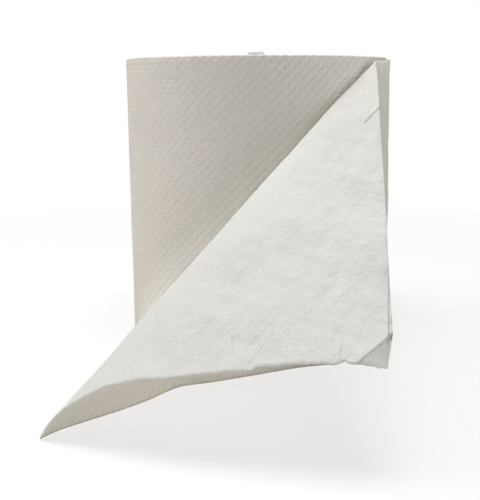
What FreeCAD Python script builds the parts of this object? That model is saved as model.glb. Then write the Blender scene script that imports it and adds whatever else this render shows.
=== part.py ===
"""Hand-towel roll standing on end, its loose outer turn drawn to the front and its free end folded over."""

import FreeCAD, Part
import math
import os
import Sketcher

# Millimetres, except the angles and bends named below. The origin is on the roll's axis at its lower end face.
SIZES = {
    # Wound roll
    "roll_radius": 98.0,
    "roll_height": 208.0,
    "rim_bevel": 0.8,
    # Lines of the wound turns on both end faces
    "ring_count": 2,
    "ring_width": 0.9,
    "ring_depth": 0.5,
    # Cardboard core
    "core_bore_radius": 19.5,
    "core_wall": 1.5,
    "core_clearance": 0.1,
    "core_recess": 2.0,
    "seat_spread": 0.3,
    "seat_depth": 22.0,
    # Moulded plug in the core's upper end
    "plug_clearance": 0.1,
    "plug_wall": 1.6,
    "flange_thickness": 1.3,
    "skirt_depth": 20.0,
    "web_drop": 7.0,
    "spindle_radius": 6.2,
    "spindle_proud": 6.3,
    "spindle_bevel": 1.3,
    "rib_count": 6,
    "rib_thickness": 1.4,
    "rib_height": 3.0,
    # Loose outer turn, in degrees round the axis from +X
    "sheet_thickness": 0.4,
    "turn_clearance": 0.15,
    "turn_gap": 8.6,
    "turn_start": 96.0,
    "turn_end": -31.7,
    # Free end: a cone with its tip just above the sheet's upper edge. Each stretch has its arc in radians
    # seen from the tip, and its bend, the cotangent of the cone's half angle, positive round the roll.
    "tip_rise": 6.0,
    "hug_arc": 0.25,
    "hug_bend": 1.92,
    "straight_arc": 0.293,
    "draw_arc": 0.312,
    "draw_bend": -0.94,
    "fold_arc": 0.103,
    "fold_bend": -11.0,
    "crown_arc": 0.147,
    "crown_bend": -3.22,
    "flap_bend": -0.61,
    "tail_length": 259.1,
    "corner_nip": 3.0,
}


def fill_sheet(doc):
    """Writes the sizes into the document's table, one named cell each."""
    table = doc.addObject("Spreadsheet::Sheet", "sizes")
    for row, (name, value) in enumerate(SIZES.items(), 1):
        table.set("A%d" % row, name)
        table.set("B%d" % row, str(value))
        table.setAlias("B%d" % row, name)
    doc.recompute()
    return table


def origin_plane(body, role):
    """The body's own base plane with this role."""
    for feature in body.Origin.OriginFeatures:
        if feature.Role == role:
            return feature
    raise ValueError(role)


def profile(body, name, corners):
    """A closed outline on the XZ plane, each corner given as expressions of the table's cells."""
    sketch = body.newObject("Sketcher::SketchObject", name)
    sketch.AttachmentSupport = (origin_plane(body, "XZ_Plane"), [""])
    sketch.MapMode = "FlatFace"
    count = len(corners)
    turn = 2.0 * math.pi / count
    start = [FreeCAD.Vector(50 + 20 * math.cos(i * turn), 50 + 20 * math.sin(i * turn), 0) for i in range(count)]
    for i in range(count):
        sketch.addGeometry(Part.LineSegment(start[i], start[(i + 1) % count]), False)
    for i in range(count):
        sketch.addConstraint(Sketcher.Constraint("Coincident", i, 2, (i + 1) % count, 1))
    for i, (out, up) in enumerate(corners):
        for kind, text in (("DistanceX", out), ("DistanceY", up)):
            number = sketch.addConstraint(Sketcher.Constraint(kind, i, 1, 10.0))
            sketch.setExpression("Constraints[%d]" % number, text)
    return sketch


def revolve(body, name, sketch):
    """Turns the outline once round the vertical axis."""
    solid = body.newObject("PartDesign::Revolution", name)
    solid.Profile = sketch
    solid.ReferenceAxis = (sketch, ["V_Axis"])
    solid.Angle = 360.0
    sketch.Visibility = False
    return solid


def rim_edges(solid, radius, height):
    """Names of the circular edges of this radius at this height."""
    found = []
    for number, edge in enumerate(solid.Shape.Edges, 1):
        curve = edge.Curve
        if isinstance(curve, Part.Circle) and abs(curve.Radius - radius) < 1e-4 and abs(curve.Center.z - height) < 1e-4:
            found.append("Edge%d" % number)
    return found


def bevel_edges(body, name, base, edges, size):
    """Bevels the named edges by the table's cell."""
    bevel = body.newObject("PartDesign::Chamfer", name)
    bevel.Base = (base, edges)
    bevel.setExpression("Size", size)
    body.Tip = bevel
    return bevel


def ring_notches(face, inward):
    """Corners of the turn lines across one end face, from the core outwards."""
    corners = []
    inner = "(sizes.core_bore_radius + sizes.core_wall)"
    for i in range(SIZES["ring_count"]):
        share = "(sizes.roll_radius - %s) * %d / (sizes.ring_count + 1)" % (inner, i + 1)
        middle = "%s + %s" % (inner, share)
        corners.append((middle + " - sizes.ring_width / 2", face))
        corners.append((middle, "%s %s sizes.ring_depth" % (face, inward)))
        corners.append((middle + " + sizes.ring_width / 2", face))
    return corners


def make_roll(doc):
    """The wound paper: a thick ring round the core with the turns' lines on its end faces."""
    body = doc.addObject("PartDesign::Body", "paper_roll")
    hole = "sizes.core_bore_radius + sizes.core_wall + sizes.core_clearance"
    below = ring_notches("0", "+")
    above = ring_notches("sizes.roll_height", "-")
    corners = [(hole, "0")] + below + [("sizes.roll_radius", "0"), ("sizes.roll_radius", "sizes.roll_height")]
    corners += list(reversed(above)) + [(hole, "sizes.roll_height")]
    outline = profile(body, "roll_outline", corners)
    wound = revolve(body, "wound", outline)
    doc.recompute()
    rims = rim_edges(wound, SIZES["roll_radius"], 0.0)
    rims += rim_edges(wound, SIZES["roll_radius"], SIZES["roll_height"])
    bevel_edges(body, "soft_rims", wound, rims, "sizes.rim_bevel")
    return body


def cylinder(doc, name, radius, height, foot="0"):
    """An upright cylinder on the roll's axis, its sizes given as expressions of the table's cells."""
    made = doc.addObject("Part::Cylinder", name)
    made.setExpression("Radius", radius)
    made.setExpression("Height", height)
    made.setExpression("Placement.Base.z", foot)
    return made


def make_core(doc):
    """The cardboard tube that the paper is wound on, flush below, set in above and spread a little by its plug."""
    length = "sizes.roll_height - sizes.core_recess"
    outer = cylinder(doc, "core_outside", "sizes.core_bore_radius + sizes.core_wall", length)
    inner = cylinder(doc, "core_inside", "sizes.core_bore_radius", length)
    spread_radius = "sizes.core_bore_radius + sizes.seat_spread"
    seat = cylinder(doc, "plug_seat", spread_radius, "sizes.seat_depth", length + " - sizes.seat_depth")
    bored = doc.addObject("Part::Cut", "core_bored")
    bored.Base = outer
    bored.Tool = inner
    tube = doc.addObject("Part::Cut", "core_tube")
    tube.Base = bored
    tube.Tool = seat
    return tube


def make_plug(doc):
    """The plug: a flange on the core's end, a skirt in its bore, a dished web and a hollow spindle with ribs."""
    body = doc.addObject("PartDesign::Body", "core_plug")
    seat = "sizes.roll_height - sizes.core_recess"
    skirt = "sizes.core_bore_radius + sizes.seat_spread - sizes.plug_clearance"
    cup = skirt + " - sizes.plug_wall"
    web = "sizes.roll_height - sizes.web_drop"
    peak = "sizes.roll_height + sizes.spindle_proud"
    hollow = "sizes.spindle_radius - sizes.plug_wall"
    corners = [
        ("0", peak),
        ("0", peak + " - sizes.plug_wall"),
        (hollow, peak + " - sizes.plug_wall"),
        (hollow, web + " - sizes.plug_wall"),
        (cup, web + " - sizes.plug_wall"),
        (cup, seat + " - sizes.skirt_depth"),
        (skirt, seat + " - sizes.skirt_depth"),
        (skirt, seat),
        ("sizes.core_bore_radius + sizes.core_wall", seat),
        ("sizes.core_bore_radius + sizes.core_wall", seat + " + sizes.flange_thickness"),
        (cup, seat + " + sizes.flange_thickness"),
        (cup, web),
        ("sizes.spindle_radius", web),
        ("sizes.spindle_radius", peak),
    ]
    moulding = revolve(body, "moulding", profile(body, "plug_outline", corners))
    bite = "sizes.plug_wall / 2"
    rib_corners = [
        ("sizes.spindle_radius - " + bite, web + " - " + bite),
        (cup + " + " + bite, web + " - " + bite),
        (cup + " + " + bite, web + " + sizes.rib_height"),
        ("sizes.spindle_radius - " + bite, web + " + sizes.rib_height"),
    ]
    rib_outline = profile(body, "rib_outline", rib_corners)
    rib = body.newObject("PartDesign::Pad", "rib")
    rib.Profile = rib_outline
    rib.setExpression("Length", "sizes.rib_thickness")
    rib.Midplane = True
    rib_outline.Visibility = False
    ribs = body.newObject("PartDesign::PolarPattern", "ribs")
    ribs.Originals = [rib]
    ribs.Axis = (rib_outline, ["V_Axis"])
    ribs.Angle = 360.0
    ribs.setExpression("Occurrences", "sizes.rib_count")
    body.Tip = ribs
    doc.recompute()
    shoulder = rim_edges(ribs, SIZES["spindle_radius"], SIZES["roll_height"] + SIZES["spindle_proud"])
    bevel_edges(body, "shoulder", ribs, shoulder, "sizes.spindle_bevel")
    return body


class Ruling:
    """One straight line of the sheet's middle surface: its two ends and the sheet's normal along it."""

    def __init__(self, upper, lower, normal):
        self.upper = upper
        self.lower = lower
        self.normal = normal

    def corners(self, half):
        """The line's ends on the front and on the back of the sheet."""
        step = self.normal * half
        return self.upper + step, self.lower + step, self.upper - step, self.lower - step


def turn_centre(table):
    """Centre and radius of the loose turn's middle surface."""
    back = table.roll_radius + table.turn_clearance + table.sheet_thickness / 2
    radius = back + table.turn_gap / 2
    return FreeCAD.Vector(0, back - radius, 0), radius


def turn_rulings(table, count):
    """Upright lines of the loose turn, from where it leaves the roll at the back to the front right."""
    centre, radius = turn_centre(table)
    start = math.radians(table.turn_start)
    end = math.radians(table.turn_end)
    lines = []
    for i in range(count + 1):
        angle = start + (end - start) * i / count
        out = FreeCAD.Vector(math.cos(angle), math.sin(angle), 0)
        place = centre + out * radius
        upper = place + FreeCAD.Vector(0, 0, table.roll_height)
        lower = place + FreeCAD.Vector(0, 0, table.sheet_thickness / 2)
        lines.append(Ruling(upper, lower, out))
    return lines


def turned(vector, axis, angle):
    """The vector turned about the axis by the angle in radians."""
    return FreeCAD.Rotation(axis, math.degrees(angle)).multVec(vector)


class Place:
    """A place on the free end: the line from the cone's tip through it, and the arc swept so far."""

    def __init__(self, table, down, normal, swept):
        self.table = table
        self.down = down
        self.normal = normal
        self.swept = swept

    def moved(self, arc, bend):
        """The place further on by the arc, along a stretch of this bend."""
        axis = self.down * bend - self.normal
        angle = arc * math.sqrt(1 + bend * bend)
        down = turned(self.down, axis, angle)
        return Place(self.table, down, turned(self.normal, axis, angle), self.swept + arc)

    def to_floor(self):
        """Distance from the tip to the sheet's lower edge, which rests on the floor."""
        table = self.table
        return (table.tip_rise + table.roll_height - table.sheet_thickness / 2) / max(-self.down.z, 1e-6)

    def to_end(self):
        """Distance from the tip to the sheet's torn end."""
        return self.table.tail_length / max(math.sin(self.swept), 1e-6)

    def past_corner(self):
        """True once the line runs out at the torn end, not at the lower edge."""
        return self.to_end() < self.to_floor()

    def ruling(self, tip):
        """The line here, from the sheet's upper edge down."""
        near = self.table.tip_rise / math.cos(self.swept)
        far = min(self.to_floor(), self.to_end())
        return Ruling(tip + self.down * near, tip + self.down * far, self.normal)


def tail_start(table):
    """The cone's tip, over the loose turn's last line, and the place there."""
    centre, radius = turn_centre(table)
    angle = math.radians(table.turn_end)
    out = FreeCAD.Vector(math.cos(angle), math.sin(angle), 0)
    tip = centre + out * radius + FreeCAD.Vector(0, 0, table.roll_height + table.tip_rise)
    return tip, Place(table, FreeCAD.Vector(0, 0, -1), out, 0.0)


def tail_stretches(table):
    """Arc and bend of each stretch of the free end, from the roll to the upper corner of its torn end."""
    stretches = [
        (table.hug_arc, table.hug_bend),
        (table.straight_arc, 0.0),
        (table.draw_arc, table.draw_bend),
        (table.fold_arc, table.fold_bend),
        (table.crown_arc, table.crown_bend),
    ]
    whole = math.atan2(table.tail_length, table.tip_rise)
    whole -= table.corner_nip * table.tip_rise / table.tail_length ** 2
    stretches.append((whole - sum(arc for arc, bend in stretches), table.flap_bend))
    return stretches


def arc_to_corner(place, arc, bend):
    """Arc from this place to the sheet's lower corner, or the whole arc where the corner isn't in it."""
    if place.past_corner() or not place.moved(arc, bend).past_corner():
        return arc
    low, high = 0.0, arc
    for step in range(40):
        middle = (low + high) / 2
        if place.moved(middle, bend).past_corner():
            high = middle
        else:
            low = middle
    return high


def spread(first, arc, count):
    """Arcs of one stretch's lines, closer together where they run nearly along the sheet's upper edge."""
    if first < 0.5:
        return [arc * i / count for i in range(count + 1)]
    low = math.tan(first)
    ratio = math.tan(first + arc) / low
    return [math.atan(low * ratio ** (i / count)) - first for i in range(count + 1)]


def tail_zones(table, count):
    """The lines of each stretch of the free end, cut in two at the lower corner; neighbours share a line."""
    tip, place = tail_start(table)
    zones = []
    for arc, bend in tail_stretches(table):
        first = arc_to_corner(place, arc, bend)
        for part in (first, arc - first):
            if part < 1e-9:
                continue
            arcs = spread(place.swept, part, count)
            zones.append([place.moved(step, bend).ruling(tip) for step in arcs])
            place = place.moved(part, bend)
    return zones


def rail(points):
    """A smooth edge through the points, all rails of one zone run alike."""
    curve = Part.BSplineCurve()
    curve.interpolate(Points=points, Parameters=[float(i) for i in range(len(points))])
    return curve.toShape()


def zone_faces(lines, half):
    """Front, back and the two long rims of one zone of the sheet."""
    ends = [line.corners(half) for line in lines]
    front_up, front_low, back_up, back_low = (rail([e[k] for e in ends]) for k in range(4))
    pairs = [(front_up, front_low), (back_up, back_low), (front_up, back_up), (front_low, back_low)]
    return [Part.makeRuledSurface(one, other) for one, other in pairs]


def end_face(line, half):
    """The narrow face that closes the sheet at its first or last line."""
    front_up, front_low, back_up, back_low = line.corners(half)
    return Part.Face(Part.makePolygon([front_up, front_low, back_low, back_up, front_up]))


def make_sheet(doc, table):
    """The loose turn and the free end as one thin closed solid."""
    half = table.sheet_thickness / 2
    zones = [turn_rulings(table, 8)] + tail_zones(table, 5)
    faces = [end_face(zones[0][0], half), end_face(zones[-1][-1], half)]
    for lines in zones:
        faces += zone_faces(lines, half)
    shell = Part.makeShell(faces)
    shell.sewShape()
    solid = Part.makeSolid(shell)
    if solid.Volume < 0:
        solid.reverse()
    sheet = doc.addObject("Part::Feature", "loose_sheet")
    sheet.Shape = solid
    return sheet


def check(doc, pieces):
    """Stops if an object failed or a piece is no sound solid."""
    for thing in doc.Objects:
        if "Invalid" in thing.State or "Error" in thing.State:
            raise RuntimeError("%s failed: %s" % (thing.Name, thing.State))
    for piece in pieces:
        shape = piece.Shape
        if shape.isNull() or not shape.isValid() or len(shape.Solids) != 1 or shape.Volume <= 0:
            raise RuntimeError("%s is not one sound solid" % piece.Name)


def main():
    doc = FreeCAD.newDocument("towel_roll")
    table = fill_sheet(doc)
    pieces = [make_roll(doc), make_core(doc), make_plug(doc), make_sheet(doc, table)]
    for piece in pieces:
        piece.Label = piece.Name
    doc.recompute()
    check(doc, pieces)
    os.makedirs("parts", exist_ok=True)
    for piece in pieces:
        piece.Shape.exportStep("parts/%s.step" % piece.Label)
        print(piece.Label, "%.1f cm3" % (piece.Shape.Volume / 1000))


main()
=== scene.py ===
"""Looks of a hand-towel roll on end, its free end drawn round to the front and folded over."""

import math

import bpy
import numpy as np
from mathutils import Matrix, Vector


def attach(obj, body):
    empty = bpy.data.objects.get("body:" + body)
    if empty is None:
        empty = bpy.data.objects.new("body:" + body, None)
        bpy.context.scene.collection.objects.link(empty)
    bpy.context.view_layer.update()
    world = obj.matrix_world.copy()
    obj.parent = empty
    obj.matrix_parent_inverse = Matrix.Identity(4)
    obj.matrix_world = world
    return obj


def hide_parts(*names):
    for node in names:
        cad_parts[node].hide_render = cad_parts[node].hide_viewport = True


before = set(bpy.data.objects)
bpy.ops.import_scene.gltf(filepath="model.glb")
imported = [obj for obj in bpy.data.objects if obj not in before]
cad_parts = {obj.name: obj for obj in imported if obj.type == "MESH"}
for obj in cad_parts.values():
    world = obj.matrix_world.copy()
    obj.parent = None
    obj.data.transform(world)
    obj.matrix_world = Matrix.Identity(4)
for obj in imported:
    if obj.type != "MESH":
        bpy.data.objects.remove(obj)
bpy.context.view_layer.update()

# Metres. The roll's axis is the origin's vertical, its lower end face the floor.
ROLL_RADIUS = 0.098
ROLL_HEIGHT = 0.208
CORE_HOLE = 0.0211
RIM_ROUND = 0.0012
SHEET_THICKNESS = 0.0004
TURN_CLEARANCE = 0.00015
TURN_GAP = 0.0086
TURN_START = math.radians(96.0)
TURN_END = math.radians(-31.7)
TIP_RISE = 0.006
TAIL_LENGTH = 0.2591
CORNER_NIP = 0.003

# Stretches of the free end from the roll on: arc seen from the cone's tip, bend, and lines in the mesh.
HUG = (0.25, 1.92, 22)
STRAIGHT = (0.293, 0.0, 22)
DRAW = (0.312, -0.94, 26)
FOLD = (0.103, -11.0, 34)
CROWN = (0.147, -3.22, 18)
FLAP_BEND = -0.61
FLAP_LINES = 190
TURN_LINES = 70
ROWS = 100
STEEP_ARC = 0.5

# Slight departures of the hang from a plain cone: place along and up the strip, reach each way, movement.
PUSHES = {
    "lower edge bowed out beside the roll": (0.042, 0, 0.025, 0.07, (0.0014, -0.0088, 0)),
    "lower edge kinked towards the roll": (0.166, 0, 0.018, 0.04, (-0.0017, 0.0063, 0)),
    "lower edge drawn towards the roll": (0.15, 0, 0.045, 0.06, (-0.0024, 0.0043, 0)),
    "lower corner": (0.262, 0, 0.035, 0.03, (-0.0019, -0.0019, 0)),
    "torn end by the fold": (0.259, 0.045, 0.04, 0.035, (0.0012, 0.0023, 0.0014)),
    "upper edge where the fold begins": (0.01, 0.208, 0.04, 0.03, (0.0017, -0.0001, -0.0031)),
    "upper fold": (0.06, 0.165, 0.045, 0.035, (0.0021, -0.0004, 0.0017)),
    "loose turn drawn in at the top": (-0.055, 0.208, 0.06, 0.09, (-0.0035, 0.0006, -0.0006)),
    "upper corner of the torn end": (0.255, 0.205, 0.06, 0.035, (-0.0002, -0.0014, -0.0005)),
    "upper edge of the folded face": (0.15, 0.208, 0.06, 0.035, (0.0007, 0, 0.0001)),
    "lower fold": (0.19, 0.06, 0.04, 0.035, (0.0014, 0.0027, 0.0018)),
}

# Torn end: its step, a nick (place, half width, depth), its two corners and its frayed fibres (size, depth).
TEAR_STEP_UP = 0.1388
TEAR_STEP = 0.0009
TEAR_NICK = (0.184, 0.002, 0.002)
UPPER_CORNER = (0.187, 0.206, -0.0008)
LOWER_CORNER = (0.07, 0.0036)
FRAY = (0.005, 0.0002)
EDGE_NICK = (0.183, 0.0028, 0.0013)

# Dog-eared corner: the ends of its crease along and up the strip, and how far and how sharply it is bent.
EAR_START = (0.2405, 0.2078)
EAR_END = (0.2586, 0.1900)
EAR_ANGLE = math.radians(44.0)
EAR_SOFTNESS = 0.001

# Soft relief of handled paper: size of its bumps, height and seed.
CRUMPLES = ((0.055, 0.0007, 3), (0.02, 0.00045, 5), (0.009, 0.0002, 8))
TURN_CRUMPLE = (0.03, 0.0003, 12)
FOLD_ARC = 0.93
FOLD_QUIET = 0.1
SEAT_HEIGHT = 0.012

# Creases on the folded-over face, as places along and up the strip: start, end, half width, depth; the depth
# also sets the painted shade along each.
CREASES = [
    ((0.0652, 0.2095), (0.0808, 0.1988), 0.0013, 1.5),
    ((0.0784, 0.1958), (0.0819, 0.1932), 0.0009, 0.5),
    ((0.0840, 0.1751), (0.0994, 0.1806), 0.0014, 0.25),
    ((0.0994, 0.1806), (0.1281, 0.1881), 0.0014, 0.3),
    ((0.1281, 0.1881), (0.1395, 0.1914), 0.0012, 0.2),
    ((0.2391, 0.1278), (0.2495, 0.1294), 0.0010, 0.4),
    ((0.2394, 0.1488), (0.2550, 0.1375), 0.0010, 0.5),
    ((0.2453, 0.1834), (0.2558, 0.1822), 0.0010, 0.5),
    ((0.2405, 0.2080), (0.2592, 0.1900), 0.0012, 1.0),
]
CREASE_DEPTH = 0.0006

# Wound roll: points in its outline and round it, and the relief of its end faces and its side.
FACE_POINTS = 38
SIDE_POINTS = 96
ROLL_COLUMNS = 300
TURN_PITCH = 0.0045
END_RELIEF = 0.0003
SIDE_RELIEF = 0.00012

# Painted light on the roll beside the fold, standing in for light the folded sheet throws on it: the plane
# that holds the fold, and how far the painted light reaches.
PAINTED_LIGHT_ACROSS = (-0.7369, 0.0910, 0.6699)
PAINTED_LIGHT_OFFSET = 0.07098
PAINTED_LIGHT_WIDTH = 0.02

# Embossing: short dashes in a basket weave.
DASH_PITCH = 0.0033
DASH_DEPTH = 0.00048

OUTER_PAPER = (0.758, 0.71, 0.648)
# The loose sheet's outer face: the roll's own paper painted lighter, standing in for light on the shaded
# strip under the fold.
SHEET_PAPER_PAINTED_LIGHTER = (0.95, 0.905, 0.835)
INNER_PAPER = (0.832, 0.839, 0.815)
# Painted light: the lighter colour of the roll's paper in the band beside the fold.
PAINTED_FOLD_LIGHT = (0.88, 0.835, 0.76)
PAPER_ROUGHNESS = 0.95
PAPER_SHEEN = 0.12
SEE_THROUGH = 0.35
TURN_EDGES = (0.86, 0.83, 0.79)
TURN_LINE_PITCH = 0.0012
CARDBOARD = (0.40, 0.27, 0.16)
BOARD_SEAM = (0.2, 0.13, 0.08)
SEAM_CLIMB = 0.075
PLASTIC = (0.90, 0.88, 0.85)

CAMERA_AT = (0.0, -0.6272, 0.1912)
CAMERA_PITCH = math.radians(11.87)
CAMERA_YAW = math.radians(-1.17)
CAMERA_ROLL = math.radians(0.301)
FOCAL_PIXELS = 800.9
FRAME_PIXELS = (480, 500)
SENSOR_HEIGHT = 36.0

# Lights: place, size and power. They aim at the middle of the roll's front.
LIGHTS = {
    "top": ((0.0, -0.1, 1.9), 1.1, 25.0),
    "top_left": ((-1.0, 0.1, 1.5), 1.1, 14.0),
    "left": ((-1.8, -0.3, 0.8), 1.1, 4.0),
    "front": ((0.0, -1.7, 0.3), 1.1, 5.0),
    "right": ((1.8, -0.3, 0.8), 1.1, 9.5),
}
LIGHTS_AIM = (0, -0.1, 0.1)
AMBIENT = 0.02
FLOOR_SIZE = 4.0
FLOOR_WHITE = 0.7
FLOOR_FADE = (0.3, 0.75)


def ripple(x, y, size, seed, waves=14):
    """A smooth random relief of about plus or minus one, its bumps about this size across."""
    rng = np.random.default_rng(seed)
    total = 0.0
    for _ in range(waves):
        angle = rng.uniform(0, 2 * math.pi)
        number = 2 * math.pi / (size * rng.uniform(0.7, 1.9))
        phase = rng.uniform(0, 2 * math.pi)
        total = total + np.sin((x * math.cos(angle) + y * math.sin(angle)) * number + phase)
    return total / math.sqrt(waves / 2) / 1.6


def smooth(x, low, high):
    """Rises smoothly from 0 at low to 1 at high."""
    t = np.clip((x - low) / (high - low), 0, 1)
    return t * t * (3 - 2 * t)


def dent(x, place, width, depth):
    """A rounded bump of this depth at this place."""
    return depth * np.exp(-((x - place) / width) ** 2)


def rotate(vector, axis, angles):
    """The vector, or each of them, turned about the unit axis by its angle."""
    c, s = np.cos(angles)[..., None], np.sin(angles)[..., None]
    return vector * c + np.cross(axis, vector) * s + axis * (vector @ axis)[..., None] * (1 - c)


def turn_circle():
    """Centre and radius of the loose turn's middle surface."""
    back = ROLL_RADIUS + TURN_CLEARANCE + SHEET_THICKNESS / 2
    radius = back + TURN_GAP / 2
    return np.array([0, back - radius, 0]), radius


def tail_arcs():
    """Arc, bend and line count of every stretch of the free end."""
    whole = math.atan2(TAIL_LENGTH, TIP_RISE) - CORNER_NIP * TIP_RISE / TAIL_LENGTH ** 2
    used = HUG[0] + STRAIGHT[0] + DRAW[0] + FOLD[0] + CROWN[0]
    return [HUG, STRAIGHT, DRAW, FOLD, CROWN, (whole - used, FLAP_BEND, FLAP_LINES)]


def spread(first, arc, count):
    """Arcs of one stretch's lines, closer together where they run nearly along the upper edge."""
    share = np.arange(count + 1) / count
    if first < STEEP_ARC:
        return arc * share
    low = math.tan(first)
    return np.arctan(low * (math.tan(first + arc) / low) ** share) - first


def tail_lines():
    """Swept arc, direction from the tip and normal of every line of the free end."""
    out = np.array([math.cos(TURN_END), math.sin(TURN_END), 0])
    down, normal, swept = np.array([0.0, 0, -1.0]), out, 0.0
    arcs, downs, normals = [np.array([0.0])], [down[None]], [normal[None]]
    for arc, bend, count in tail_arcs():
        axis = down * bend - normal
        size = math.sqrt(1 + bend * bend)
        steps = spread(swept, arc, count)[1:]
        d = rotate(down, axis / size, steps * size)
        n = rotate(normal, axis / size, steps * size)
        arcs.append(swept + steps)
        downs.append(d)
        normals.append(n)
        down, normal, swept = d[-1], n[-1], swept + arc
    return np.concatenate(arcs), np.concatenate(downs), np.concatenate(normals)


def torn_end(up):
    """How far the torn end stands out past its plain line."""
    step = np.where(up < TEAR_STEP_UP, TEAR_STEP, -TEAR_STEP)
    nick = dent(up, *TEAR_NICK)
    upper = UPPER_CORNER[2] * smooth(up, UPPER_CORNER[0], UPPER_CORNER[1])
    lower = LOWER_CORNER[1] * (1 - smooth(up, 0.0, LOWER_CORNER[0]))
    fray = FRAY[1] * ripple(up, 0 * up, FRAY[0], 41)
    return step - nick + upper + lower + fray


def tail_reach(arcs, downs):
    """Distances from the cone's tip to the strip's upper edge, and to the floor or the torn end."""
    tip_height = ROLL_HEIGHT + TIP_RISE
    near = (TIP_RISE + dent(TIP_RISE * np.tan(arcs), *EDGE_NICK)) / np.cos(arcs)
    floor = (tip_height - SHEET_THICKNESS / 2) / np.maximum(-downs[:, 2], 1e-6)
    up_at_end = tip_height - TAIL_LENGTH / np.tan(np.maximum(arcs, 0.1))
    end = (TAIL_LENGTH + torn_end(up_at_end)) / np.maximum(np.sin(arcs), 1e-6)
    return near, np.minimum(floor, end)


def turn_grid(share):
    """Middle-surface points, normals and flat places of the loose turn."""
    centre, radius = turn_circle()
    angles = np.linspace(TURN_START, TURN_END, TURN_LINES + 1)[:-1]
    outs = np.stack([np.cos(angles), np.sin(angles), 0 * angles], 1)
    z = ROLL_HEIGHT + (SHEET_THICKNESS / 2 - ROLL_HEIGHT) * share
    points = centre + outs[:, None] * radius + z[None, :, None] * np.array([0, 0, 1.0])
    flat = np.stack(np.broadcast_arrays((TURN_END - angles)[:, None] * radius, z[None]), 2)
    return points, outs, flat


def tail_grid(share):
    """Middle-surface points, normals and flat places of the free end."""
    centre, radius = turn_circle()
    arcs, downs, normals = tail_lines()
    edge = np.array([math.cos(TURN_END), math.sin(TURN_END), 0])
    tip = centre + edge * radius + np.array([0, 0, ROLL_HEIGHT + TIP_RISE])
    near, far = tail_reach(arcs, downs)
    reach = near[:, None] + (far - near)[:, None] * share[None]
    points = tip + reach[..., None] * downs[:, None]
    along = reach * np.sin(arcs)[:, None]
    up = ROLL_HEIGHT + TIP_RISE - reach * np.cos(arcs)[:, None]
    return points, normals, np.stack([along, up], 2)


def sheet_grid():
    """Middle-surface points, normals and flat places (along the strip, up the strip) of the loose sheet."""
    share = np.linspace(0, 1, ROWS + 1)
    turn, outs, turn_flat = turn_grid(share)
    tail, normals, tail_flat = tail_grid(share)
    points = np.concatenate([turn, tail])
    flat = np.concatenate([turn_flat, tail_flat])
    every = np.concatenate([outs, normals])
    return points, np.broadcast_to(every[:, None], points.shape).copy(), flat


def pushed(points, flat):
    """The hang of the sheet with its slight departures from a plain cone."""
    u, v = flat[..., 0], flat[..., 1]
    moved = points.copy()
    for along, up, wide, tall, way in PUSHES.values():
        share = np.exp(-((u - along) / wide) ** 2 - ((v - up) / tall) ** 2)
        moved += share[..., None] * np.array(way)
    moved[..., 2] = np.maximum(moved[..., 2], SHEET_THICKNESS / 2)
    return moved


def crumple(points, normals, flat):
    """Soft relief of handled paper, quiet on the turn round the roll, along the fold and at the floor."""
    u, v = flat[..., 0], flat[..., 1]
    free = smooth(u, 0.0, 0.08)
    height = sum(tall * ripple(u, v, size, seed) for size, tall, seed in CRUMPLES)
    swept = np.arctan2(u, ROLL_HEIGHT + TIP_RISE - v)
    height = height * free * (1 - dent(swept, FOLD_ARC, FOLD_QUIET, 0.85))
    size, tall, seed = TURN_CRUMPLE
    height = height + tall * ripple(u, v, size, seed) * (1 - free) * smooth(u, -0.2, -0.15)
    seat = smooth(points[..., 2], 0.0, SEAT_HEIGHT)
    return points + normals * (height * (0.25 + 0.75 * seat))[..., None]


def nearest(points, flat, place):
    """The grid point that lies nearest to a flat place."""
    gap = np.linalg.norm(flat - np.array(place), axis=-1)
    return points[np.unravel_index(gap.argmin(), gap.shape)]


def bent_corner(points, flat):
    """The sheet with its dog-eared corner bent back about its crease."""
    run = np.array(EAR_END) - np.array(EAR_START)
    across = np.array([-run[1], run[0]]) / np.linalg.norm(run)
    beyond = (flat - np.array(EAR_START)) @ across
    start, end = nearest(points, flat, EAR_START), nearest(points, flat, EAR_END)
    axis = (start - end) / np.linalg.norm(start - end)
    return start + rotate(points - start, axis, EAR_ANGLE * smooth(beyond, 0.0, EAR_SOFTNESS))


def new_mesh(name, verts, faces, uvs, materials, which, soft=None):
    """A mesh object with one flat place per point as its UV map, smooth-shaded where soft is true."""
    mesh = bpy.data.meshes.new(name)
    mesh.from_pydata(verts.tolist(), [], faces.tolist())
    layer = mesh.uv_layers.new(name="flat")
    loops = np.empty(len(mesh.loops), np.int32)
    mesh.loops.foreach_get("vertex_index", loops)
    layer.data.foreach_set("uv", uvs[loops].astype(np.float32).ravel())
    for material in materials:
        mesh.materials.append(material)
    mesh.polygons.foreach_set("material_index", which.astype(np.int32))
    mesh.polygons.foreach_set("use_smooth", np.ones(len(faces), bool) if soft is None else soft)
    mesh.update()
    made = bpy.data.objects.new(name, mesh)
    bpy.context.scene.collection.objects.link(made)
    return made


def grid_faces(columns, rows):
    """Quads of a grid whose points are numbered column by column."""
    c, r = np.meshgrid(np.arange(columns - 1), np.arange(rows - 1), indexing="ij")
    a = (c * rows + r).ravel()
    return np.stack([a, a + 1, a + rows + 1, a + rows], 1)


def rim_loop(columns, rows):
    """Point numbers once round the grid's border."""
    top = np.arange(columns) * rows
    right = (columns - 1) * rows + np.arange(1, rows)
    low = (np.arange(columns - 2, -1, -1)) * rows + rows - 1
    left = np.arange(rows - 2, 0, -1)
    return np.concatenate([top, right, low, left])


def shell_faces(columns, rows):
    """Faces of a doubled grid: outer face, inner face and rim, with material numbers and soft shading."""
    quads = grid_faces(columns, rows)
    total = columns * rows
    loop = rim_loop(columns, rows)
    ahead = np.roll(loop, -1)
    rim = np.stack([loop + total, ahead + total, ahead, loop], 1)
    faces = np.concatenate([quads[:, ::-1], quads + total, rim])
    which = np.concatenate([np.zeros(len(quads)), np.ones(len(quads) + len(rim))])
    return faces, which, np.arange(len(faces)) < 2 * len(quads)


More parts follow.
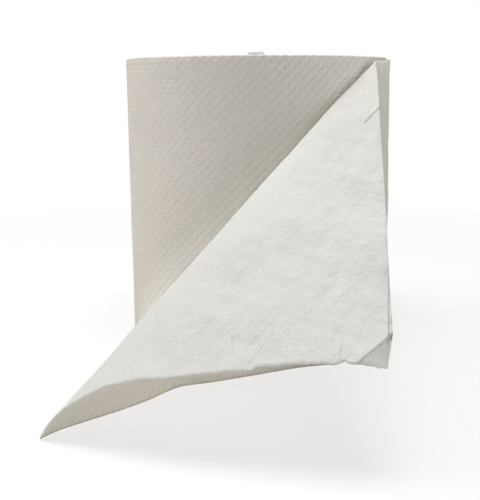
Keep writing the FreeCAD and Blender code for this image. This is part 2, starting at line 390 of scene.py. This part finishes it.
def build_sheet(outer, inner):
    """The loose sheet: an outer and an inner face with the paper's thickness between."""
    points, normals, flat = sheet_grid()
    points = crumple(pushed(points, flat), normals, flat)
    half = SHEET_THICKNESS / 2
    begin = flat[0, 0, 0]
    full = 0.08 + 0.92 * smooth(flat[..., :1], begin, begin + 0.008)
    front = bent_corner(points + normals * half * (2 * full - 1), flat).reshape(-1, 3)
    back = bent_corner(points - normals * half, flat).reshape(-1, 3)
    faces, which, soft = shell_faces(*points.shape[:2])
    verts = np.concatenate([front, back])
    uvs = np.concatenate([flat.reshape(-1, 2)] * 2)
    return new_mesh("loose_sheet_paper", verts, faces, uvs, [outer, inner], which, soft)


def roll_profile():
    """Radius and height along the skin, from the core's hole below, round the side, to the hole above."""
    inner = ROLL_RADIUS - RIM_ROUND
    face = np.linspace(CORE_HOLE, inner, FACE_POINTS)
    bend = np.linspace(0, math.pi / 2, 5)[1:-1]
    side = np.linspace(RIM_ROUND, ROLL_HEIGHT - RIM_ROUND, SIDE_POINTS)
    out, rise = RIM_ROUND * np.sin(bend), RIM_ROUND * np.cos(bend)
    r = [face, inner + out, np.full(SIDE_POINTS, ROLL_RADIUS), inner + rise, face[::-1]]
    z = [0 * face, RIM_ROUND - rise, side, ROLL_HEIGHT - RIM_ROUND + out, 0 * face + ROLL_HEIGHT]
    return np.concatenate(r), np.concatenate(z)


def uneven_roll(r, z, angle):
    """Radius and height of every point: uneven turns on the end faces and a slightly soft side."""
    radius = np.broadcast_to(r, (len(angle), len(r))).copy()
    height = np.broadcast_to(z, (len(angle), len(r))).copy()
    turns = radius / TURN_PITCH - angle[:, None] / (2 * math.pi)
    wave = ripple(turns, 0 * turns, 2.6, 21) + 0.6 * ripple(turns, 0 * turns, 1.2, 22)
    on_end = smooth(radius, CORE_HOLE, CORE_HOLE + 0.004) * (1 - smooth(radius, 0.0945, 0.0966))
    inward = np.where(z < ROLL_HEIGHT / 2, 1.0, -1.0)
    end_face = (z <= 0) | (z >= ROLL_HEIGHT)
    height += inward * END_RELIEF * on_end * (1 + np.clip(wave, -1, 1)) * end_face
    between = smooth(height, 0.0, 0.01) * (1 - smooth(height, ROLL_HEIGHT - 0.01, ROLL_HEIGHT))
    side = smooth(radius, 0.0965, ROLL_RADIUS) * between
    across, up = np.sin(angle)[:, None] * 0.1, height + np.cos(angle)[:, None] * 0.1
    radius -= side * SIDE_RELIEF * (1 + ripple(across, up, 0.05, 31))
    return radius, height


def ring_faces(columns, rows):
    """Quads of a grid that closes on itself round the axis."""
    ids = np.arange(columns * rows).reshape(columns, rows)
    ids = np.concatenate([ids, ids[:1]])
    a, b = ids[:-1, :-1].ravel(), ids[1:, :-1].ravel()
    c, d = ids[1:, 1:].ravel(), ids[:-1, 1:].ravel()
    return np.stack([a, b, c, d], 1)


def build_roll(skin, ends):
    """The wound paper: embossed round the side, with the edges of its turns on the end faces."""
    r, z = roll_profile()
    angle = np.arange(ROLL_COLUMNS) * 2 * math.pi / ROLL_COLUMNS
    radius, height = uneven_roll(r, z, angle)
    x, y = radius * np.cos(angle)[:, None], radius * np.sin(angle)[:, None]
    verts = np.stack([x, y, height], 2).reshape(-1, 3)
    mean = np.tile((r[:-1] + r[1:]) / 2, ROLL_COLUMNS)
    which = (mean < ROLL_RADIUS - RIM_ROUND * 0.6).astype(int)
    along = np.broadcast_to(-angle[:, None] * ROLL_RADIUS, height.shape)
    uvs = np.stack([along, height], 2).reshape(-1, 2)
    faces = ring_faces(ROLL_COLUMNS, len(r))
    return new_mesh("paper_roll_wound", verts, faces, uvs, [skin, ends], which)


def rgba(colour, factor=1.0):
    """The colour, darker or lighter by this factor, as an opaque one."""
    return tuple(min(1.0, part * factor) for part in colour) + (1.0,)


class Nodes:
    """Small helper that adds shader nodes and links them."""

    def __init__(self, name):
        self.material = bpy.data.materials.new(name)
        self.material.use_nodes = True
        self.tree = self.material.node_tree
        self.shader = self.tree.nodes["Principled BSDF"]
        self.output = self.tree.nodes["Material Output"]

    def add(self, kind, **values):
        node = self.tree.nodes.new(kind)
        for key, value in values.items():
            setattr(node, key, value)
        return node

    def put(self, socket, value):
        if isinstance(value, bpy.types.NodeSocket):
            self.tree.links.new(value, socket)
        else:
            socket.default_value = value

    def math(self, operation, a, b=0.0, c=0.0):
        node = self.add("ShaderNodeMath", operation=operation)
        for socket, value in zip(node.inputs, (a, b, c)):
            self.put(socket, value)
        return node.outputs[0]

    def ramp(self, value, low, high, start, end):
        node = self.add("ShaderNodeMapRange", interpolation_type="SMOOTHSTEP")
        for name, number in (("From Min", low), ("From Max", high), ("To Min", start), ("To Max", end)):
            node.inputs[name].default_value = number
        self.put(node.inputs["Value"], value)
        return node.outputs["Result"]

    def noise(self, vector, scale, detail=3.0, roughness=0.55):
        node = self.add("ShaderNodeTexNoise")
        self.put(node.inputs["Vector"], vector)
        node.inputs["Scale"].default_value = scale
        node.inputs["Detail"].default_value = detail
        node.inputs["Roughness"].default_value = roughness
        return node.outputs["Fac"]

    def mix(self, factor, one, other):
        node = self.add("ShaderNodeMix", data_type="RGBA")
        self.put(node.inputs[0], factor)
        self.put(node.inputs[6], one)
        self.put(node.inputs[7], other)
        return node.outputs[2]

    def bump(self, height, distance, strength=1.0, under=None):
        node = self.add("ShaderNodeBump")
        node.inputs["Distance"].default_value = distance
        node.inputs["Strength"].default_value = strength
        self.put(node.inputs["Height"], height)
        if under is not None:
            self.put(node.inputs["Normal"], under)
        return node.outputs[0]

    def vector(self, operation, a, b=None):
        node = self.add("ShaderNodeVectorMath", operation=operation)
        self.put(node.inputs[0], a)
        if b is not None:
            self.put(node.inputs[1], b)
        return node.outputs["Value" if operation in ("LENGTH", "DOT_PRODUCT") else "Vector"]

    def split(self, vector):
        node = self.add("ShaderNodeSeparateXYZ")
        self.put(node.inputs[0], vector)
        return tuple(node.outputs)

    def flat(self):
        return self.add("ShaderNodeUVMap", uv_map="flat").outputs[0]

    def place(self):
        return self.add("ShaderNodeTexCoord").outputs["Object"]

    def surface(self, colour, roughness, normal=None, sheen=None):
        sockets = self.shader.inputs
        self.put(sockets["Base Color"], colour)
        self.put(sockets["Roughness"], roughness)
        if normal is not None:
            self.put(sockets["Normal"], normal)
        if sheen is not None:
            self.put(sockets["Specular IOR Level"], sheen)


def dashes(nodes):
    """Height of the embossed dashes, 1 in a dash: cells in a lattice, leaning left and right in turn."""
    across, up, _ = nodes.split(nodes.flat())
    x = nodes.math("DIVIDE", across, DASH_PITCH)
    y = nodes.math("DIVIDE", up, DASH_PITCH)
    cell = nodes.math("ADD", nodes.math("FLOOR", x), nodes.math("FLOOR", y))
    odd = nodes.math("FLOORED_MODULO", cell, 2.0)
    lean = nodes.math("SUBTRACT", nodes.math("MULTIPLY", odd, 2.0), 1.0)
    fx = nodes.math("SUBTRACT", nodes.math("FRACT", x), 0.5)
    fy = nodes.math("MULTIPLY", nodes.math("SUBTRACT", nodes.math("FRACT", y), 0.5), lean)
    length = nodes.math("ABSOLUTE", nodes.math("ADD", fx, fy))
    width = nodes.math("ABSOLUTE", nodes.math("SUBTRACT", fx, fy))
    narrow = nodes.ramp(width, 0.06, 0.5, 1.0, 0.0)
    inside = nodes.math("MULTIPLY", narrow, nodes.ramp(length, 0.45, 0.95, 1.0, 0.0))
    pressed = nodes.math("SUBTRACT", 0.7, nodes.math("MULTIPLY", lean, 0.3))
    return nodes.math("MULTIPLY", inside, pressed)


def crease_line(nodes, uv, start, end, width):
    """1 on the straight line between two flat places, falling to 0 at this distance from it."""
    run = Vector((end[0] - start[0], end[1] - start[1], 0))
    past = nodes.vector("SUBTRACT", uv, (start[0], start[1], 0))
    share = nodes.vector("DOT_PRODUCT", past, run / run.length_squared)
    share = nodes.math("MAXIMUM", nodes.math("MINIMUM", share, 1.0), 0.0)
    gap = nodes.vector("LENGTH", nodes.vector("SUBTRACT", past, nodes.vector("MULTIPLY", run, share)))
    return nodes.ramp(gap, 0.0, width, 1.0, 0.0)


def creases(nodes):
    """Depth of all the creases together, used for their bump and for their painted shade."""
    uv = nodes.flat()
    total = 0.0
    for start, end, width, depth in CREASES:
        line = crease_line(nodes, uv, start, end, width)
        total = nodes.math("ADD", nodes.math("MULTIPLY", line, depth), total)
    return total


def let_through(nodes, share, colour):
    """Lets part of the light through the thin paper."""
    glow = nodes.add("ShaderNodeBsdfTranslucent")
    glow.inputs["Color"].default_value = rgba(colour)
    mix = nodes.add("ShaderNodeMixShader")
    mix.inputs[0].default_value = share
    nodes.put(mix.inputs[1], nodes.shader.outputs[0])
    nodes.put(mix.inputs[2], glow.outputs[0])
    nodes.put(nodes.output.inputs[0], mix.outputs[0])


def paper_base(name, colour, shade, grain_depth):
    """Soft matte tissue: its nodes, its colour with faint patches, and its fibre grain."""
    nodes = Nodes(name)
    place = nodes.place()
    patch = nodes.ramp(nodes.noise(place, 14.0, 3.0), 0.3, 0.7, 0.0, 1.0)
    tone = nodes.mix(patch, rgba(colour, 1 - shade), rgba(colour, 1 + shade * 0.4))
    fine = nodes.bump(nodes.noise(place, 900.0, 4.0, 0.6), grain_depth, 0.8)
    grain = nodes.bump(nodes.noise(place, 130.0, 3.0, 0.6), grain_depth * 4, 0.8, fine)
    return nodes, tone, grain


def painted_light_share(nodes):
    """Share of the painted light on the roll, greatest beside the fold and only on the roll's front."""
    place = nodes.place()
    away = nodes.math("SUBTRACT", nodes.vector("DOT_PRODUCT", place, PAINTED_LIGHT_ACROSS), PAINTED_LIGHT_OFFSET)
    near = nodes.ramp(away, 0.0, PAINTED_LIGHT_WIDTH, 1.0, 0.0)
    band = nodes.math("MULTIPLY", near, nodes.ramp(away, -0.02, -0.004, 0.0, 1.0))
    depth = nodes.split(place)[1]
    return nodes.math("MULTIPLY", band, nodes.ramp(depth, -0.06, -0.02, 1.0, 0.0))


def embossed_paper(name, colour, through=0.0):
    """The outer face, with the pressed dashes, painted darker in them as shade; on the wound roll also with
    painted light beside the fold.
    """
    nodes, tone, grain = paper_base(name, colour, 0.03, 0.0002)
    relief = dashes(nodes)
    if not through:
        # Painted light: the roll's paper is lighter in a band beside the fold.
        tone = nodes.mix(painted_light_share(nodes), tone, rgba(PAINTED_FOLD_LIGHT))
    # Painted shade: the tone darkens in the pressed dashes, more in those of one lean.
    tone = nodes.mix(nodes.math("MULTIPLY", relief, 0.35), tone, rgba(colour, 0.93))
    normal = nodes.bump(nodes.math("MULTIPLY", relief, -1.0), DASH_DEPTH, 1.0, grain)
    nodes.surface(tone, PAPER_ROUGHNESS, normal, PAPER_SHEEN)
    if through:
        let_through(nodes, through, colour)
    return nodes.material


def plain_paper(name, colour, through):
    """The inner face, nearly smooth, with its creases, painted darker along them as shade."""
    nodes, tone, grain = paper_base(name, colour, 0.02, 0.0005)
    lines = creases(nodes)
    # Painted shade: the tone darkens along the creases.
    tone = nodes.mix(nodes.math("MULTIPLY", lines, 0.45), tone, rgba(colour, 0.72))
    back = nodes.bump(dashes(nodes), DASH_DEPTH * 0.2, 1.0, grain)
    normal = nodes.bump(nodes.math("MULTIPLY", lines, -1.0), CREASE_DEPTH, 1.0, back)
    nodes.surface(tone, PAPER_ROUGHNESS, normal, PAPER_SHEEN)
    let_through(nodes, through, colour)
    return nodes.material


def turn_share(nodes, x, y):
    """Share of a full turn round the roll's axis."""
    return nodes.math("DIVIDE", nodes.math("ARCTAN2", y, x), 2 * math.pi)


def turn_edges(name, colour):
    """The end faces: edges of the wound turns in a spiral."""
    nodes = Nodes(name)
    place = nodes.place()
    x, y, _ = nodes.split(place)
    square = nodes.math("ADD", nodes.math("MULTIPLY", x, x), nodes.math("MULTIPLY", y, y))
    turns = nodes.math("DIVIDE", nodes.math("SQRT", square), TURN_LINE_PITCH)
    line = nodes.add("ShaderNodeTexNoise", noise_dimensions="1D")
    nodes.put(line.inputs["W"], nodes.math("SUBTRACT", turns, turn_share(nodes, x, y)))
    line.inputs["Scale"].default_value = 1.0
    line.inputs["Detail"].default_value = 4.0
    lines = line.outputs["Fac"]
    tone = nodes.mix(nodes.ramp(lines, 0.32, 0.6, 0.0, 1.0), rgba(colour, 0.72), rgba(colour))
    fuzz = nodes.bump(nodes.noise(place, 600.0, 4.0, 0.7), 0.0003, 0.7)
    nodes.surface(tone, 0.97, nodes.bump(lines, 0.0012, 0.9, fuzz), 0.1)
    return nodes.material


def cardboard(name):
    """Spiral-wound grey-brown board with a seam and fibres."""
    nodes = Nodes(name)
    place = nodes.place()
    x, y, z = nodes.split(place)
    climb = nodes.math("ADD", turn_share(nodes, x, y), nodes.math("DIVIDE", z, SEAM_CLIMB))
    beside = nodes.math("ABSOLUTE", nodes.math("SUBTRACT", nodes.math("FRACT", climb), 0.5))
    seam = nodes.ramp(beside, 0.004, 0.014, 1.0, 0.0)
    fibre = nodes.noise(place, 260.0, 6.0, 0.7)
    tone = nodes.mix(fibre, rgba(CARDBOARD, 0.82), rgba(CARDBOARD, 1.18))
    tone = nodes.mix(nodes.math("MULTIPLY", seam, 0.7), tone, rgba(BOARD_SEAM))
    nodes.surface(tone, 0.9, nodes.bump(fibre, 0.0003, 0.6))
    return nodes.material


def plastic(name):
    """Moulded polypropylene, faintly grained."""
    nodes = Nodes(name)
    place = nodes.place()
    cloud = nodes.noise(place, 40.0, 3.0)
    tone = nodes.mix(cloud, rgba(PLASTIC, 0.95), rgba(PLASTIC, 1.03))
    nodes.surface(tone, 0.42, nodes.bump(nodes.noise(place, 1500.0, 2.0), 0.00006, 0.5))
    return nodes.material


def dress(node, material):
    """Gives a node of the frame this material."""
    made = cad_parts[node]
    if not made.material_slots:
        made.data.materials.append(material)
    for slot in made.material_slots:
        slot.material = material


def camera_axes():
    """The camera's right, down and forward directions."""
    cy, sy = math.cos(CAMERA_YAW), math.sin(CAMERA_YAW)
    cp, sp = math.cos(CAMERA_PITCH), math.sin(CAMERA_PITCH)
    forward = Vector((sy * cp, cy * cp, -sp))
    right = Vector((cy, -sy, 0))
    down = forward.cross(right)
    cr, sr = math.cos(CAMERA_ROLL), math.sin(CAMERA_ROLL)
    return right * cr + down * sr, down * cr - right * sr, forward


def add_camera():
    data = bpy.data.cameras.new("camera")
    data.sensor_fit = "VERTICAL"
    data.sensor_height = SENSOR_HEIGHT
    data.lens = FOCAL_PIXELS / FRAME_PIXELS[1] * SENSOR_HEIGHT
    data.clip_start = 0.01
    camera = bpy.data.objects.new("camera", data)
    right, down, forward = camera_axes()
    turn = Matrix((right, -down, -forward)).transposed().to_4x4()
    camera.matrix_world = Matrix.Translation(CAMERA_AT) @ turn
    bpy.context.scene.collection.objects.link(camera)
    bpy.context.scene.camera = camera


def add_light(name, place, size, power):
    data = bpy.data.lights.new(name, "AREA")
    data.shape = "DISK"
    data.size = size
    data.energy = power
    light = bpy.data.objects.new(name, data)
    light.location = place
    aim = Vector(LIGHTS_AIM) - Vector(place)
    light.rotation_euler = aim.to_track_quat("-Z", "Y").to_euler()
    bpy.context.scene.collection.objects.link(light)


def add_world():
    """Faint light from all round, and plain white where nothing else is seen."""
    world = bpy.data.worlds.new("studio")
    bpy.context.scene.world = world
    world.use_nodes = True
    tree = world.node_tree
    light = tree.nodes["Background"]
    light.inputs["Color"].default_value = (1.0, 0.99, 0.97, 1.0)
    light.inputs["Strength"].default_value = AMBIENT
    seen = tree.nodes.new("ShaderNodeBackground")
    seen.inputs["Color"].default_value = (1, 1, 1, 1)
    mix = tree.nodes.new("ShaderNodeMixShader")
    path = tree.nodes.new("ShaderNodeLightPath")
    tree.links.new(path.outputs["Is Camera Ray"], mix.inputs[0])
    tree.links.new(light.outputs[0], mix.inputs[1])
    tree.links.new(seen.outputs[0], mix.inputs[2])
    tree.links.new(mix.outputs[0], tree.nodes["World Output"].inputs[0])


def floor_paint():
    """White that keeps the soft shadow near the roll and is plain white further off."""
    nodes = Nodes("floor")
    place = nodes.place()
    tone = nodes.mix(nodes.noise(place, 3.0), (0.86, 0.86, 0.85, 1), (0.89, 0.89, 0.88, 1))
    nodes.surface(tone, 1.0, sheen=0.0)
    white = nodes.add("ShaderNodeEmission")
    fade = nodes.add("ShaderNodeMixShader")
    nodes.put(fade.inputs[0], nodes.ramp(nodes.vector("LENGTH", place), *FLOOR_FADE, FLOOR_WHITE, 1.0))
    nodes.put(fade.inputs[1], nodes.shader.outputs[0])
    nodes.put(fade.inputs[2], white.outputs[0])
    mix = nodes.add("ShaderNodeMixShader")
    nodes.put(mix.inputs[0], nodes.add("ShaderNodeLightPath").outputs["Is Camera Ray"])
    nodes.put(mix.inputs[1], nodes.shader.outputs[0])
    nodes.put(mix.inputs[2], fade.outputs[0])
    nodes.put(nodes.output.inputs[0], mix.outputs[0])
    return nodes.material


def add_floor():
    """A wide floor under the roll."""
    corners = [(x * FLOOR_SIZE, y * FLOOR_SIZE, 0) for x, y in ((-1, -1), (1, -1), (1, 1), (-1, 1))]
    mesh = bpy.data.meshes.new("floor")
    mesh.from_pydata(corners, [], [(0, 1, 2, 3)])
    mesh.materials.append(floor_paint())
    floor = bpy.data.objects.new("floor", mesh)
    bpy.context.scene.collection.objects.link(floor)


def build_paper():
    """The wound roll and the loose sheet, each in its papers, riding on the one body."""
    wound = embossed_paper("wound_paper", OUTER_PAPER)
    # Painted light: the sheet's outer face is a lighter copy of the roll's paper.
    outer = embossed_paper("outer_face", SHEET_PAPER_PAINTED_LIGHTER, SEE_THROUGH)
    inner = plain_paper("inner_face", INNER_PAPER, SEE_THROUGH)
    roll = build_roll(wound, turn_edges("turn_edges", TURN_EDGES))
    sheet = build_sheet(outer, inner)
    for piece, node in ((roll, "paper_roll"), (sheet, "loose_sheet")):
        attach(piece, "root")
        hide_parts(node)


def main():
    build_paper()
    dress("core_tube", cardboard("cardboard"))
    dress("core_plug", plastic("plug_plastic"))
    add_floor()
    add_world()
    for name, (place, size, power) in LIGHTS.items():
        add_light(name, place, size, power)
    add_camera()
    bpy.context.scene.view_settings.view_transform = "Standard"


main()
